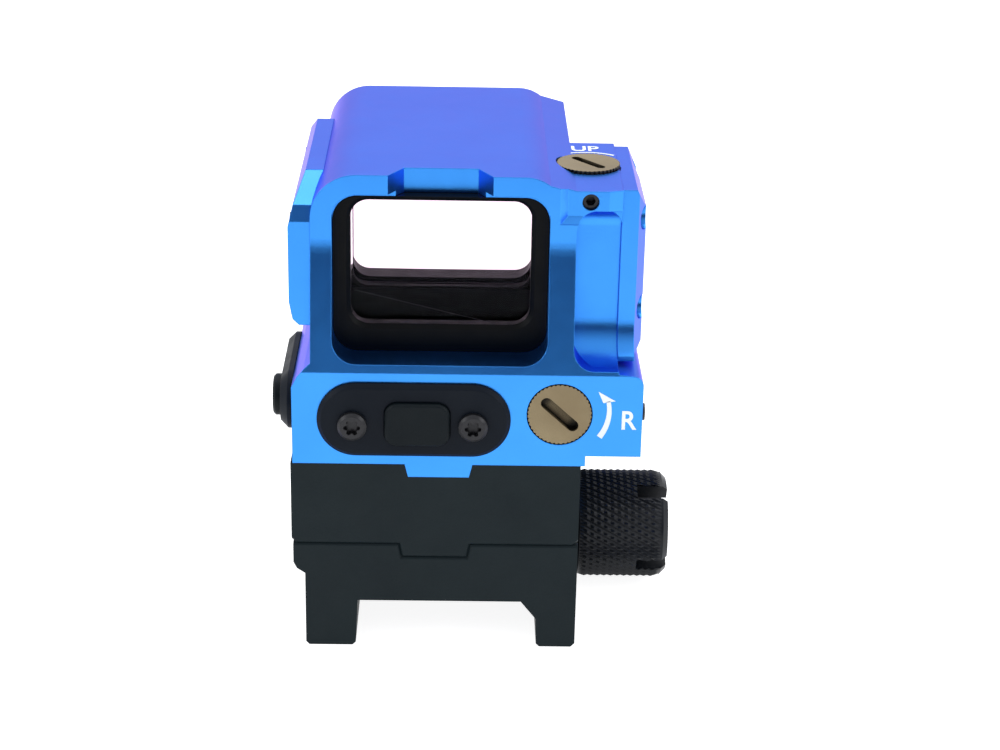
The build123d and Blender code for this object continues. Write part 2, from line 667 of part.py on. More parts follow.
with BuildPart() as prism_front:
    with BuildSketch(Plane.XY.offset(PRISM_LOW)):
        with BuildLine():
            Polyline(
                (PRISM_HALF, PRISM_FRONT),
                (-PRISM_HALF, PRISM_FRONT),
                (-PRISM_HALF, LED_Y + PRISM_HALF + SEAM_GAP),
                (PRISM_HALF, LED_Y - PRISM_HALF + SEAM_GAP),
                close=True,
            )
        make_face()
    extrude(amount=PRISM_HIGH - PRISM_LOW)
prism_front.part.label = "prism_front"
export_step(prism_front.part, "parts/prism_front.step")

with BuildPart() as prism_cradle:
    with BuildSketch(Plane.XZ.offset(-PRISM_FRONT)):
        with Locations((0, (TUNNEL_LOW + BORE_HIGH) / 2)):
            RectangleRounded(2 * TUNNEL_HALF - 0.1, BORE_HIGH - TUNNEL_LOW - 0.1, TUNNEL_ROUND)
        with Locations((0, PRISM_LOW)):
            Rectangle(2 * PRISM_HALF + 0.1, 30, align=(Align.CENTER, Align.MIN), mode=Mode.SUBTRACT)
        with Locations((0, 57.6)):
            Rectangle(40, 10, align=(Align.CENTER, Align.MIN), mode=Mode.SUBTRACT)
    extrude(amount=PRISM_FRONT - PRISM_REAR)
    rod("X", (LED_Y, LED_Z), 2.6, 12.0, 17.0, Mode.SUBTRACT)
prism_cradle.part.label = "prism_cradle"
export_step(prism_cradle.part, "parts/prism_cradle.step")

LENS_Y = (16.0, 19.6)
LENS_CURVE = 95.0

with BuildPart() as front_lens:
    with BuildSketch(Plane.XZ.offset(-LENS_Y[1])):
        with Locations((0, LED_Z - 0.4)):
            RectangleRounded(28.6, 21.4, 3.0)
    extrude(amount=LENS_Y[1] - LENS_Y[0])
    with Locations((0, LENS_Y[1] - LENS_CURVE, LED_Z)):
        Sphere(LENS_CURVE, mode=Mode.INTERSECT)
front_lens.part.label = "front_lens"
export_step(front_lens.part, "parts/front_lens.step")

with BuildPart() as lens_gasket:
    with BuildSketch(Plane.XZ.offset(-LENS_Y[0])):
        with Locations((0, LED_Z - 0.4)):
            RectangleRounded(28.6, 21.4, 3.0)
            RectangleRounded(27.4, 20.4, 2.6, mode=Mode.SUBTRACT)
    extrude(amount=1.0)
lens_gasket.part.label = "lens_gasket"
export_step(lens_gasket.part, "parts/lens_gasket.step")

with BuildPart() as front_bezel:
    with BuildSketch(Plane.XZ.offset(-24.6)):
        with Locations((0, (TUNNEL_LOW + BORE_HIGH) / 2)):
            RectangleRounded(2 * TUNNEL_HALF - 0.1, BORE_HIGH - TUNNEL_LOW - 0.1, TUNNEL_ROUND)
        with Locations((0, LED_Z - 0.2)):
            RectangleRounded(27.2, 20.4, 2.6, mode=Mode.SUBTRACT)
    extrude(amount=24.6 - LENS_Y[1])
    with BuildSketch(Plane.XZ.offset(-LENS_Y[1])):
        with Locations((0, (TUNNEL_LOW + BORE_HIGH) / 2)):
            RectangleRounded(2 * TUNNEL_HALF - 0.1, BORE_HIGH - TUNNEL_LOW - 0.1, TUNNEL_ROUND)
        with Locations((0, LED_Z - 0.4)):
            RectangleRounded(28.8, 21.6, 3.0, mode=Mode.SUBTRACT)
    extrude(amount=LENS_Y[1] - LENS_Y[0])
    outer = front_bezel.edges().filter_by_position(Axis.Y, 24.55, 24.65)
    outer = outer.filter_by_position(Axis.X, -13.8, 13.8)
    outer = outer.filter_by_position(Axis.Z, 39.0, 60.3)
    chamfer(outer, 0.4)
front_bezel.part.label = "front_bezel"
export_step(front_bezel.part, "parts/front_bezel.step")

# ---------------------------------------------------------------- elevation drive
HEAD_LOW = LEDGE_Z - DIAL_T
CLICK_T = 0.25

with BuildPart() as elevation_dial:
    with BuildSketch(Plane.XY.offset(HEAD_LOW)):
        with Locations((ELEV_X, ELEV_Y)):
            Circle(DIAL_R)
            with PolarLocations(DIAL_R + 0.06, DIAL_TEETH):
                Circle(0.19, mode=Mode.SUBTRACT)
    extrude(amount=DIAL_T + DIAL_PROUD)
    rod("Z", (ELEV_X, ELEV_Y), STEM_R, 56.9, HEAD_LOW)
    rod("Z", (ELEV_X, ELEV_Y), SCREW_R, 44.6, 56.9)
    with BuildSketch(Plane.XY.offset(LEDGE_Z + DIAL_PROUD)):
        with Locations(Location((ELEV_X, ELEV_Y), -52)):
            SlotOverall(6.8, 1.3)
    extrude(amount=-1.2, mode=Mode.SUBTRACT)
elevation_dial.part.label = "elevation_dial"
export_step(elevation_dial.part, "parts/elevation_dial.step")

with BuildPart() as elevation_click_plate:
    rod("Z", (ELEV_X, ELEV_Y), 4.6, HEAD_LOW - 0.4, HEAD_LOW - 0.4 + CLICK_T)
    rod("Z", (ELEV_X, ELEV_Y), 3.1, HEAD_LOW - 1, HEAD_LOW, Mode.SUBTRACT)
elevation_click_plate.part.label = "elevation_click_plate"
export_step(elevation_click_plate.part, "parts/elevation_click_plate.step")

with BuildPart() as elevation_nut:
    block((18.2, 24.2), (-9.3, -3.3), (46.6, 53.4))
    rod("Z", (ELEV_X, ELEV_Y), SCREW_R + RUN, 46, 54, Mode.SUBTRACT)
    for z in (47.9, 52.1):
        rod("Y", (23.0, z), 0.6, -5.3, -3.0, Mode.SUBTRACT)
elevation_nut.part.label = "elevation_nut"
export_step(elevation_nut.part, "parts/elevation_nut.step")

with BuildPart() as guide_pins:
    for z in (47.9, 52.1):
        rod("Y", (23.0, z), 0.6, -5.3, 2.0)
guide_pins.part.label = "guide_pins"
export_step(guide_pins.part, "parts/guide_pins.step")

# ---------------------------------------------------------------- emitter
HOLDER_Y = (-2.5, 1.2)

with BuildPart() as emitter_holder:
    block((18.0, 24.2), HOLDER_Y, (46.8, 53.2))
    block((17.8, 19.8), (HOLDER_Y[0] + 0.7, HOLDER_Y[1] - 0.7), (41.9, 46.8))
    block((17.8, 18.0), HOLDER_Y, (46.8, 53.2))
    for z in (47.9, 52.1):
        rod("Y", (23.0, z), 0.6 + RUN, -3, 2, Mode.SUBTRACT)
    rod("X", (LED_Y, LED_Z), 1.5, 17.0, 20.4, Mode.SUBTRACT)
    for y in (LED_Y - 0.6, LED_Y + 0.6):
        rod("X", (y, LED_Z), 0.3, 20.0, 25.0, Mode.SUBTRACT)
emitter_holder.part.label = "emitter_holder"
export_step(emitter_holder.part, "parts/emitter_holder.step")

with BuildPart() as emitter_led:
    rod("X", (LED_Y, LED_Z), 1.48, 17.7, 20.4)
    with Locations((17.7, LED_Y, LED_Z)):
        Sphere(1.2)
    for y in (LED_Y - 0.6, LED_Y + 0.6):
        rod("X", (y, LED_Z), 0.2, 20.4, 25.1)
emitter_led.part.label = "emitter_led"
export_step(emitter_led.part, "parts/emitter_led.step")

with BuildPart() as emitter_board:
    block((24.2, 24.8), (HOLDER_Y[0] + 0.1, HOLDER_Y[1] - 0.1), (47.2, 52.8))
    for y in (LED_Y - 0.6, LED_Y + 0.6):
        rod("X", (y, LED_Z), 0.22, 24.0, 25.0, Mode.SUBTRACT)
emitter_board.part.label = "emitter_board"
export_step(emitter_board.part, "parts/emitter_board.step")

# ---------------------------------------------------------------- windage drive
FACE_IN = REAR_Y + DIAL_T

with BuildPart() as windage_dial:
    with BuildSketch(Plane.XZ.offset(-REAR_Y)):
        with Locations((WIND_X, WIND_Z)):
            Circle(DIAL_R)
            with PolarLocations(DIAL_R + 0.06, DIAL_TEETH):
                Circle(0.19, mode=Mode.SUBTRACT)
    extrude(amount=-DIAL_T)
    rod("Y", (WIND_X, WIND_Z), STEM_R, FACE_IN, -18.3)
    rod("Y", (WIND_X, WIND_Z), SCREW_R, -18.3, -2.0)
    with BuildSketch(Plane.XZ.offset(-REAR_Y)):
        with Locations(Location((WIND_X, WIND_Z), -42)):
            SlotOverall(6.8, 1.7)
    extrude(amount=-1.2, mode=Mode.SUBTRACT)
windage_dial.part.label = "windage_dial"
export_step(windage_dial.part, "parts/windage_dial.step")

with BuildPart() as windage_click_plate:
    rod("Y", (WIND_X, WIND_Z), 4.6, FACE_IN + 0.15, FACE_IN + 0.4)
    rod("Y", (WIND_X, WIND_Z), 3.1, FACE_IN, FACE_IN + 1, Mode.SUBTRACT)
windage_click_plate.part.label = "windage_click_plate"
export_step(windage_click_plate.part, "parts/windage_click_plate.step")

TAB_REAR = HOLDER_Y[0] + 0.7
TAB_FRONT = HOLDER_Y[1] - 0.7

with BuildPart() as windage_fork:
    block((14.3, 20.1), (-13.0, -7.0), (27.3, 33.3))
    rod("Y", (WIND_X, WIND_Z), SCREW_R + RUN, -14, -6, Mode.SUBTRACT)
    block((17.6, 20.0), (-13.0, 2.2), (33.3, 35.0))
    block((17.6, 20.0), (TAB_REAR - 1.35, TAB_FRONT + 1.35), (35.0, 40.6))
    block((17.6, 20.0), (TAB_REAR - 1.35, TAB_REAR - 0.05), (40.6, 44.6))
    block((17.6, 20.0), (TAB_FRONT + 0.05, TAB_FRONT + 1.35), (40.6, 44.6))
windage_fork.part.label = "windage_fork"
export_step(windage_fork.part, "parts/windage_fork.step")

with BuildPart() as elevation_lock_screw:
    rod("Y", (LOCK_X, LOCK_Z), 1.15, -18.4, -11.3)
    hexagon("Y", (LOCK_X, LOCK_Z), 1.25, -18.4, -17.0, Mode.SUBTRACT)
elevation_lock_screw.part.label = "elevation_lock_screw"
export_step(elevation_lock_screw.part, "parts/elevation_lock_screw.step")

with BuildPart() as windage_lock_screw:
    rod("X", (WIND_LOCK_Y, WIND_LOCK_Z), 0.98, 22.2, BLOCK_RIGHT)
    rod("X", (WIND_LOCK_Y, WIND_LOCK_Z), 1.25, BLOCK_RIGHT, BLOCK_RIGHT + 0.35)
    hexagon("X", (WIND_LOCK_Y, WIND_LOCK_Z), 1.2, BLOCK_RIGHT - 0.5, BLOCK_RIGHT + 0.35, Mode.SUBTRACT)
windage_lock_screw.part.label = "windage_lock_screw"
export_step(windage_lock_screw.part, "parts/windage_lock_screw.step")

# ---------------------------------------------------------------- rear button
PLATE_T = 1.0

with BuildPart() as rear_button_plate:
    with BuildSketch(Plane.XZ.offset(-REAR_Y)):
        with Locations((REAR_PLATE_X, REAR_PLATE_Z)):
            SlotOverall(REAR_PLATE_L, REAR_PLATE_H)
    extrude(amount=PLATE_T)
    chamfer(rear_button_plate.faces().sort_by(Axis.Y)[0].edges(), 0.6)
    with BuildSketch(Plane.XZ.offset(-REAR_Y)):
        with Locations((REAR_BUTTON_X, REAR_BUTTON_Z)):
            RectangleRounded(9.5, 6.7, 1.9)
        with Locations(*[(x, REAR_SCREW_Z) for x in REAR_SCREW_X]):
            Circle(1.05)
    extrude(amount=PLATE_T, mode=Mode.SUBTRACT)
rear_button_plate.part.label = "rear_button_plate"
export_step(rear_button_plate.part, "parts/rear_button_plate.step")

with BuildPart() as rear_plate_screws:
    for x in REAR_SCREW_X:
        rod("Y", (x, REAR_SCREW_Z), 2.1, REAR_Y - PLATE_T - 1.1, REAR_Y - PLATE_T)
    chamfer(rear_plate_screws.edges().group_by(Axis.Y)[0], 0.4)
    for x in REAR_SCREW_X:
        rod("Y", (x, REAR_SCREW_Z), 0.98, REAR_Y - PLATE_T, -19.6)
    with BuildSketch(Plane.XZ.offset(-REAR_Y + PLATE_T + 1.1)):
        for x in REAR_SCREW_X:
            with Locations((x, REAR_SCREW_Z)):
                Circle(0.85)
                with PolarLocations(0.88, 6):
                    Circle(0.32)
    extrude(amount=-0.9, mode=Mode.SUBTRACT)
rear_plate_screws.part.label = "rear_plate_screws"
export_step(rear_plate_screws.part, "parts/rear_plate_screws.step")

with BuildPart() as rear_button:
    with BuildSketch(Plane.XZ.offset(-REAR_Y)):
        with Locations((REAR_BUTTON_X, REAR_BUTTON_Z)):
            RectangleRounded(9.3, 6.5, 1.8)
    extrude(amount=PLATE_T + 0.8)
    chamfer(rear_button.faces().sort_by(Axis.Y)[0].edges(), 0.3)
    block((REAR_BUTTON_X - 5.5, REAR_BUTTON_X + 5.5), (REAR_Y, REAR_Y + 0.8), (25.1, 32.9))
    rod("Y", (REAR_BUTTON_X, REAR_BUTTON_Z), 1.2, REAR_Y + 0.8, -20.9)
rear_button.part.label = "rear_button"
export_step(rear_button.part, "parts/rear_button.step")

with BuildPart() as rear_button_spring:
    coil("Y", (REAR_BUTTON_X, REAR_BUTTON_Z), 2.1, 0.18, -22.95, -19.7, 4)
rear_button_spring.part.label = "rear_button_spring"
export_step(rear_button_spring.part, "parts/rear_button_spring.step")

with BuildPart() as rear_switch:
    block((-6.1, -0.1), (-19.4, -16.6), (26.2, 32.0))
    rod("Y", (REAR_BUTTON_X, REAR_BUTTON_Z), 1.4, -20.2, -19.4)
rear_switch.part.label = "rear_switch"
export_step(rear_switch.part, "parts/rear_switch.step")

# ---------------------------------------------------------------- side button
SIDE_T = 1.9
SIDE_FACE = BLOCK_LEFT - SIDE_T

with BuildPart() as side_button_plate:
    with BuildSketch(Plane.YZ.offset(BLOCK_LEFT)):
        with Locations((SIDE_PLATE_Y, SIDE_PLATE_Z)):
            SlotOverall(SIDE_PLATE_L, SIDE_PLATE_H)
    extrude(amount=-SIDE_T)
    chamfer(side_button_plate.faces().sort_by(Axis.X)[0].edges(), 1.1)
    rod("X", (SIDE_BUTTON_Y, SIDE_PLATE_Z), 3.15, SIDE_FACE - 1, BLOCK_LEFT + 1, Mode.SUBTRACT)
    rod("X", (SIDE_BUTTON_Y, SIDE_PLATE_Z), 3.75, BLOCK_LEFT - 0.9, BLOCK_LEFT + 1, Mode.SUBTRACT)
    for y in KEY_SCREW_Y:
        rod("X", (y, SIDE_PLATE_Z), 0.85, SIDE_FACE - 1, BLOCK_LEFT + 1, Mode.SUBTRACT)
        rod("X", (y, SIDE_PLATE_Z), 1.65, SIDE_FACE - 1, BLOCK_LEFT - 0.7, Mode.SUBTRACT)
side_button_plate.part.label = "side_button_plate"
export_step(side_button_plate.part, "parts/side_button_plate.step")

with BuildPart() as side_plate_key_screws:
    for y in KEY_SCREW_Y:
        rod("X", (y, SIDE_PLATE_Z), 1.6, SIDE_FACE + 0.1, BLOCK_LEFT - 0.7)
        rod("X", (y, SIDE_PLATE_Z), 0.78, BLOCK_LEFT - 0.7, -17.7)
        hexagon("X", (y, SIDE_PLATE_Z), 1.3, SIDE_FACE + 0.1, SIDE_FACE + 0.9, Mode.SUBTRACT)
side_plate_key_screws.part.label = "side_plate_key_screws"
export_step(side_plate_key_screws.part, "parts/side_plate_key_screws.step")

with BuildPart() as side_button:
    rod("X", (SIDE_BUTTON_Y, SIDE_PLATE_Z), 3.05, SIDE_FACE - 1.2, BLOCK_LEFT - 0.8)
    chamfer(side_button.faces().sort_by(Axis.X)[0].edges(), 0.35)
    rod("X", (SIDE_BUTTON_Y, SIDE_PLATE_Z), 3.6, BLOCK_LEFT - 0.85, BLOCK_LEFT - 0.55)
    rod("X", (SIDE_BUTTON_Y, SIDE_PLATE_Z), 1.2, BLOCK_LEFT - 0.6, -18.3)
side_button.part.label = "side_button"
export_step(side_button.part, "parts/side_button.step")

with BuildPart() as side_button_spring:
    coil("X", (SIDE_BUTTON_Y, SIDE_PLATE_Z), 2.0, 0.2, -21.4, -16.95, 5)
side_button_spring.part.label = "side_button_spring"
export_step(side_button_spring.part, "parts/side_button_spring.step")

with BuildPart() as side_switch:
    block((-16.7, -13.7), (SIDE_BUTTON_Y - 2.7, SIDE_BUTTON_Y + 2.7), (27.1, 32.5))
    rod("X", (SIDE_BUTTON_Y, SIDE_PLATE_Z), 1.4, -17.6, -16.7)
side_switch.part.label = "side_switch"
export_step(side_switch.part, "parts/side_switch.step")

# ---------------------------------------------------------------- electronics
with BuildPart() as main_board:
    block((-13.4, 7.6), (-18.8, -2.3), (25.1, 26.2))
main_board.part.label = "main_board"
export_step(main_board.part, "parts/main_board.step")

with BuildPart() as board_chips:
    block((-4.5, 1.5), (-13.0, -7.0), (26.2, 27.4))
    for x in (-11.0, -8.0, 4.0, 6.0):
        block((x - 0.8, x + 0.8), (-6.2, -3.4), (26.2, 27.6))
board_chips.part.label = "board_chips"
export_step(board_chips.part, "parts/board_chips.step")

# ---------------------------------------------------------------- battery and tray
CELL_R = 10.0
CELL_Y = 15.6
CELL_Z = (28.5, 31.7)
TRAY_X = 11.45
TRAY_Z = (27.05, 31.4)
DOOR_Y = FRONT_Y + 0.5

with BuildPart() as battery:
    rod("Z", (0, CELL_Y), CELL_R, CELL_Z[0] + 0.4, CELL_Z[1])
    rod("Z", (0, CELL_Y), CELL_R - 1.0, CELL_Z[0], CELL_Z[0] + 0.4)
battery.part.label = "battery"
export_step(battery.part, "parts/battery.step")

with BuildPart() as battery_tray:
    block((-TRAY_X, TRAY_X), (BAY_REAR + 0.3, DOOR_Y), TRAY_Z)
    rod("Z", (0, CELL_Y), CELL_R + 0.15, CELL_Z[0], 33, Mode.SUBTRACT)
    block((-2.6, 2.6), (BAY_REAR, 18.0), (26, TRAY_Z[1] + 1), Mode.SUBTRACT)
    with BuildSketch(Plane.XZ.offset(-DOOR_Y)):
        with Locations((0, 30.0)):
            RectangleRounded(27.0, 9.4, 2.2)
    extrude(amount=-1.6)
    chamfer(battery_tray.faces().sort_by(Axis.Y)[-1].edges(), 0.5)
    block((-6, 6), (DOOR_Y + 1.6, DOOR_Y + 2.4), (32.6, 33.6))
battery_tray.part.label = "battery_tray"
export_step(battery_tray.part, "parts/battery_tray.step")

with BuildPart() as tray_gasket:
    with BuildSketch(Plane.XZ.offset(-FRONT_Y)):
        with Locations((0, 29.9)):
            RectangleRounded(26.0, 8.4, 1.8)
            RectangleRounded(23.6, 6.2, 1.0, mode=Mode.SUBTRACT)
    extrude(amount=-(DOOR_Y - FRONT_Y))
tray_gasket.part.label = "tray_gasket"
export_step(tray_gasket.part, "parts/tray_gasket.step")

with BuildPart() as battery_contacts:
    block((-2.0, 2.0), (7.0, 16.0), (31.85, 32.1))
    block((-2.0, 2.0), (7.0, 8.0), (32.1, BAY_Z[1]))
    block((-2.0, 2.0), (6.0, 14.0), (28.15, 28.35))
    block((-2.0, 2.0), (6.0, 7.0), (BAY_Z[0], 28.15))
battery_contacts.part.label = "battery_contacts"
export_step(battery_contacts.part, "parts/battery_contacts.step")
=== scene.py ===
import json
import math

import bpy
from mathutils import Matrix, Vector


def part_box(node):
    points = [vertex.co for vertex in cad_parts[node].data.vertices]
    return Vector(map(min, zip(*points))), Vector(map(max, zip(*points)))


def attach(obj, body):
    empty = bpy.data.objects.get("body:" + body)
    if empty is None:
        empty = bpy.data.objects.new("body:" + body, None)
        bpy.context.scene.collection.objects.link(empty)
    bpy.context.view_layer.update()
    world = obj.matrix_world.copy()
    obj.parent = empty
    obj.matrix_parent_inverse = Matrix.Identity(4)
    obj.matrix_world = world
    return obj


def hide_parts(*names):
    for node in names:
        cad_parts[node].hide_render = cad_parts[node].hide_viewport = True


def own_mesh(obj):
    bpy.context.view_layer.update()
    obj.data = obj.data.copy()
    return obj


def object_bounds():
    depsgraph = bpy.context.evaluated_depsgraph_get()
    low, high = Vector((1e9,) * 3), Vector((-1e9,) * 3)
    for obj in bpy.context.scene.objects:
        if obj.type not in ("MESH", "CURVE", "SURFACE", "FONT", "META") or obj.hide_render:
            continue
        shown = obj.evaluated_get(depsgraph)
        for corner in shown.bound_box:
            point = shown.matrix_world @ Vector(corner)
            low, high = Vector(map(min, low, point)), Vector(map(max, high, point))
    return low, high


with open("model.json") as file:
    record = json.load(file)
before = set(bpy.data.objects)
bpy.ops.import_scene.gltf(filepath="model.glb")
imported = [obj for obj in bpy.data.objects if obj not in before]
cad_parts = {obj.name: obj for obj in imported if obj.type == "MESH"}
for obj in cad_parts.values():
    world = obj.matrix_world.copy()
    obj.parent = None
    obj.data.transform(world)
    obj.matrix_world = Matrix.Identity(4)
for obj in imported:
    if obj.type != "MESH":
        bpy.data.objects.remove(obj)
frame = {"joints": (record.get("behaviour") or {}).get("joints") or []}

box_at_load = [list(corner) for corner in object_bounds()]
scene = bpy.context.scene
MM = 0.001

# ---------------------------------------------------------------- camera
CAMERA_AT = (2.55 * MM, -312.93 * MM, 154.17 * MM)
CAMERA_TILT = math.radians(22.184)
CAMERA_YAW = math.radians(-1.205)
CAMERA_ROLL = math.radians(1.192)
CAMERA_LENS = 78.99
CAMERA_SENSOR = 36.0

yaw, tilt, roll = CAMERA_YAW, CAMERA_TILT, CAMERA_ROLL
ahead = Vector((-math.sin(yaw) * math.cos(tilt), math.cos(yaw) * math.cos(tilt), -math.sin(tilt)))
right = Vector((math.cos(yaw), math.sin(yaw), 0.0))
up = right.cross(ahead)
cam_right = math.cos(roll) * right + math.sin(roll) * up
cam_up = -math.sin(roll) * right + math.cos(roll) * up
cam_data = bpy.data.cameras.new("camera")
cam_data.sensor_width = CAMERA_SENSOR
cam_data.lens = CAMERA_LENS
cam_data.clip_start = 0.01
cam_data.clip_end = 50.0
camera = bpy.data.objects.new("camera", cam_data)
scene.collection.objects.link(camera)
turn = Matrix((cam_right, cam_up, -ahead)).transposed().to_4x4()
camera.matrix_world = Matrix.Translation(CAMERA_AT) @ turn
scene.camera = camera


# ---------------------------------------------------------------- shader helpers
def new_material(name):
    mat = bpy.data.materials.new(name)
    mat.use_nodes = True
    tree = mat.node_tree
    bsdf = next(n for n in tree.nodes if n.type == "BSDF_PRINCIPLED")
    return mat, tree, bsdf


def add(tree, kind, inputs=None, **settings):
    node = tree.nodes.new(kind)
    for key, value in settings.items():
        setattr(node, key, value)
    for key, value in (inputs or {}).items():
        node.inputs[key].default_value = value
    return node


def noise(tree, scale, detail=3.0, roughness=0.5, stretch=None):
    coords = add(tree, "ShaderNodeTexCoord")
    source = coords.outputs["Object"]
    if stretch:
        mapping = add(tree, "ShaderNodeMapping", {"Scale": stretch})
        tree.links.new(source, mapping.inputs["Vector"])
        source = mapping.outputs["Vector"]
    tex = add(tree, "ShaderNodeTexNoise", {"Scale": scale, "Detail": detail, "Roughness": roughness})
    tree.links.new(source, tex.inputs["Vector"])
    return tex.outputs["Fac"]


def ranged(tree, value, low, high, start=0.3, end=0.7):
    node = add(tree, "ShaderNodeMapRange", {1: start, 2: end, 3: low, 4: high})
    tree.links.new(value, node.inputs[0])
    return node.outputs[0]


def mixed_colour(tree, factor, first, second):
    node = add(tree, "ShaderNodeMix", data_type="RGBA")
    node.inputs[6].default_value = (*first, 1)
    node.inputs[7].default_value = (*second, 1)
    tree.links.new(factor, node.inputs[0])
    return node.outputs[2]


def bumped(tree, bsdf, height, strength, distance, edge=0.0):
    bump = add(tree, "ShaderNodeBump", {"Strength": strength, "Distance": distance})
    tree.links.new(height, bump.inputs["Height"])
    if edge:
        bevel = add(tree, "ShaderNodeBevel", {"Radius": edge}, samples=4)
        tree.links.new(bevel.outputs[0], bump.inputs["Normal"])
    tree.links.new(bump.outputs[0], bsdf.inputs["Normal"])
    return bump


def solid(name, first, second, rough, metallic=0.0, grain=9000.0, bump=0.15, depth=0.00003,
          wear=None, edge=0.0, coat=0.0, specular=0.5, tint=None):
    """A material with colour drift, roughness drift and a fine surface grain."""
    mat, tree, bsdf = new_material(name)
    drift = ranged(tree, noise(tree, 90.0, 4.0), 0.0, 1.0)
    colour = mixed_colour(tree, drift, first, second)
    if wear:
        spots = ranged(tree, noise(tree, 700.0, 6.0, 0.7), 0.0, 1.0, 0.72, 0.78)
        node = add(tree, "ShaderNodeMix", data_type="RGBA")
        node.inputs[7].default_value = (*wear, 1)
        tree.links.new(spots, node.inputs[0])
        tree.links.new(colour, node.inputs[6])
        colour = node.outputs[2]
    tree.links.new(colour, bsdf.inputs["Base Color"])
    tree.links.new(ranged(tree, noise(tree, 400.0, 3.0), rough[0], rough[1]), bsdf.inputs["Roughness"])
    bsdf.inputs["Metallic"].default_value = metallic
    bsdf.inputs["Specular IOR Level"].default_value = specular
    if tint:
        bsdf.inputs["Specular Tint"].default_value = (*tint, 1)
    bsdf.inputs["Coat Weight"].default_value = coat
    bumped(tree, bsdf, noise(tree, grain, 2.0), bump, depth, edge)
    return mat


# ---------------------------------------------------------------- materials
looks = {
    "blue_anodised": solid(
        "blue_anodised", (0.043, 0.262, 0.76), (0.047, 0.278, 0.79), rough=(0.31, 0.335),
        metallic=1.0, grain=3600.0, bump=0.4, depth=0.00003, edge=0.0002, tint=(0.8, 0.45, 1.0)),
    "black_anodised": solid(
        "black_anodised", (0.005, 0.0105, 0.013), (0.007, 0.0135, 0.016), rough=(0.44, 0.52),
        metallic=0.0, grain=3600.0, bump=0.5, depth=0.00004, wear=(0.02, 0.024, 0.026),
        edge=0.00015, specular=0.13),
    "black_plate": solid(
        "black_plate", (0.003, 0.0055, 0.01), (0.0045, 0.0075, 0.0125), rough=(0.42, 0.5),
        metallic=0.0, grain=4200.0, bump=0.4, depth=0.00003, wear=(0.018, 0.02, 0.022), edge=0.0002,
        specular=0.1),
    "black_lens_frame": solid(
        "black_lens_frame", (0.001, 0.0015, 0.002), (0.0015, 0.0022, 0.003), rough=(0.4, 0.5),
        metallic=0.0, grain=5200.0, bump=0.2, depth=0.00002, edge=0.0001, specular=0.1),
    "black_knurled": solid(
        "black_knurled", (0.004, 0.005, 0.007), (0.008, 0.01, 0.013), rough=(0.3, 0.4),
        metallic=0.0, grain=5200.0, bump=0.25, depth=0.00002, wear=(0.04, 0.044, 0.052),
        specular=0.2),
    "black_steel": solid(
        "black_steel", (0.012, 0.013, 0.015), (0.02, 0.02, 0.023), rough=(0.3, 0.4), metallic=0.4,
        grain=5000.0, bump=0.2, depth=0.00002, edge=0.00012, specular=0.4),
    "steel": solid(
        "steel", (0.45, 0.45, 0.47), (0.52, 0.52, 0.54), rough=(0.25, 0.38), metallic=1.0,
        grain=5000.0, bump=0.15, depth=0.00002),
    "spring_steel": solid(
        "spring_steel", (0.4, 0.4, 0.42), (0.5, 0.5, 0.52), rough=(0.22, 0.32), metallic=1.0,
        grain=5000.0, bump=0.1, depth=0.00001),
    "dial_metal": solid(
        "dial_metal", (0.19, 0.145, 0.08), (0.25, 0.2, 0.115), rough=(0.42, 0.52), metallic=0.7,
        grain=3600.0, bump=0.5, depth=0.00004, wear=(0.1, 0.08, 0.05), edge=0.00008),
    "brass": solid(
        "brass", (0.7, 0.48, 0.2), (0.78, 0.55, 0.25), rough=(0.25, 0.35), metallic=1.0,
        grain=4000.0, bump=0.15, depth=0.00002),
    "rubber": solid(
        "rubber", (0.006, 0.006, 0.007), (0.01, 0.01, 0.011), rough=(0.6, 0.75), metallic=0.0,
        grain=5000.0, bump=0.3, depth=0.00003, specular=0.3),
    "button_rubber": solid(
        "button_rubber", (0.0025, 0.0055, 0.0075), (0.004, 0.0075, 0.0095), rough=(0.42, 0.52),
        metallic=0.0, grain=4000.0, bump=0.5, depth=0.00004, wear=(0.04, 0.04, 0.036), edge=0.0002,
        specular=0.12),
    "black_plastic": solid(
        "black_plastic", (0.012, 0.012, 0.014), (0.018, 0.018, 0.02), rough=(0.45, 0.6),
        metallic=0.0, grain=4000.0, bump=0.25, depth=0.00003, edge=0.0002, specular=0.3),
    "chip_black": solid(
        "chip_black", (0.02, 0.02, 0.02), (0.03, 0.03, 0.03), rough=(0.5, 0.6), metallic=0.0,
        grain=5000.0, bump=0.2, depth=0.00002),
    "circuit_board": solid(
        "circuit_board", (0.015, 0.12, 0.05), (0.025, 0.16, 0.07), rough=(0.3, 0.4), metallic=0.0,
        grain=2500.0, bump=0.2, depth=0.00002),
    "red_led": solid(
        "red_led", (0.7, 0.03, 0.02), (0.75, 0.05, 0.03), rough=(0.08, 0.12), metallic=0.0,
        grain=4000.0, bump=0.05, depth=0.00001, coat=0.5),
    "cell_steel": solid(
        "cell_steel", (0.7, 0.7, 0.71), (0.76, 0.76, 0.77), rough=(0.15, 0.22), metallic=1.0,
        grain=4000.0, bump=0.1, depth=0.00001),
    "contact_gold": solid(
        "contact_gold", (0.85, 0.6, 0.25), (0.9, 0.66, 0.3), rough=(0.2, 0.3), metallic=1.0,
        grain=4000.0, bump=0.1, depth=0.00001),
    "marking_white": solid(
        "marking_white", (0.72, 0.78, 0.85), (0.82, 0.87, 0.92), rough=(0.5, 0.6), metallic=0.0,
        grain=3000.0, bump=0.3, depth=0.00002, specular=0.2),
    # A grey that paints the highlight on the edge of the prism joint
    "painted_joint_highlight": solid(
        "painted_joint_highlight", (0.3, 0.3, 0.31), (0.38, 0.38, 0.39), rough=(0.5, 0.6), metallic=0.0,
        grain=3000.0, bump=0.1, depth=0.00001),
}
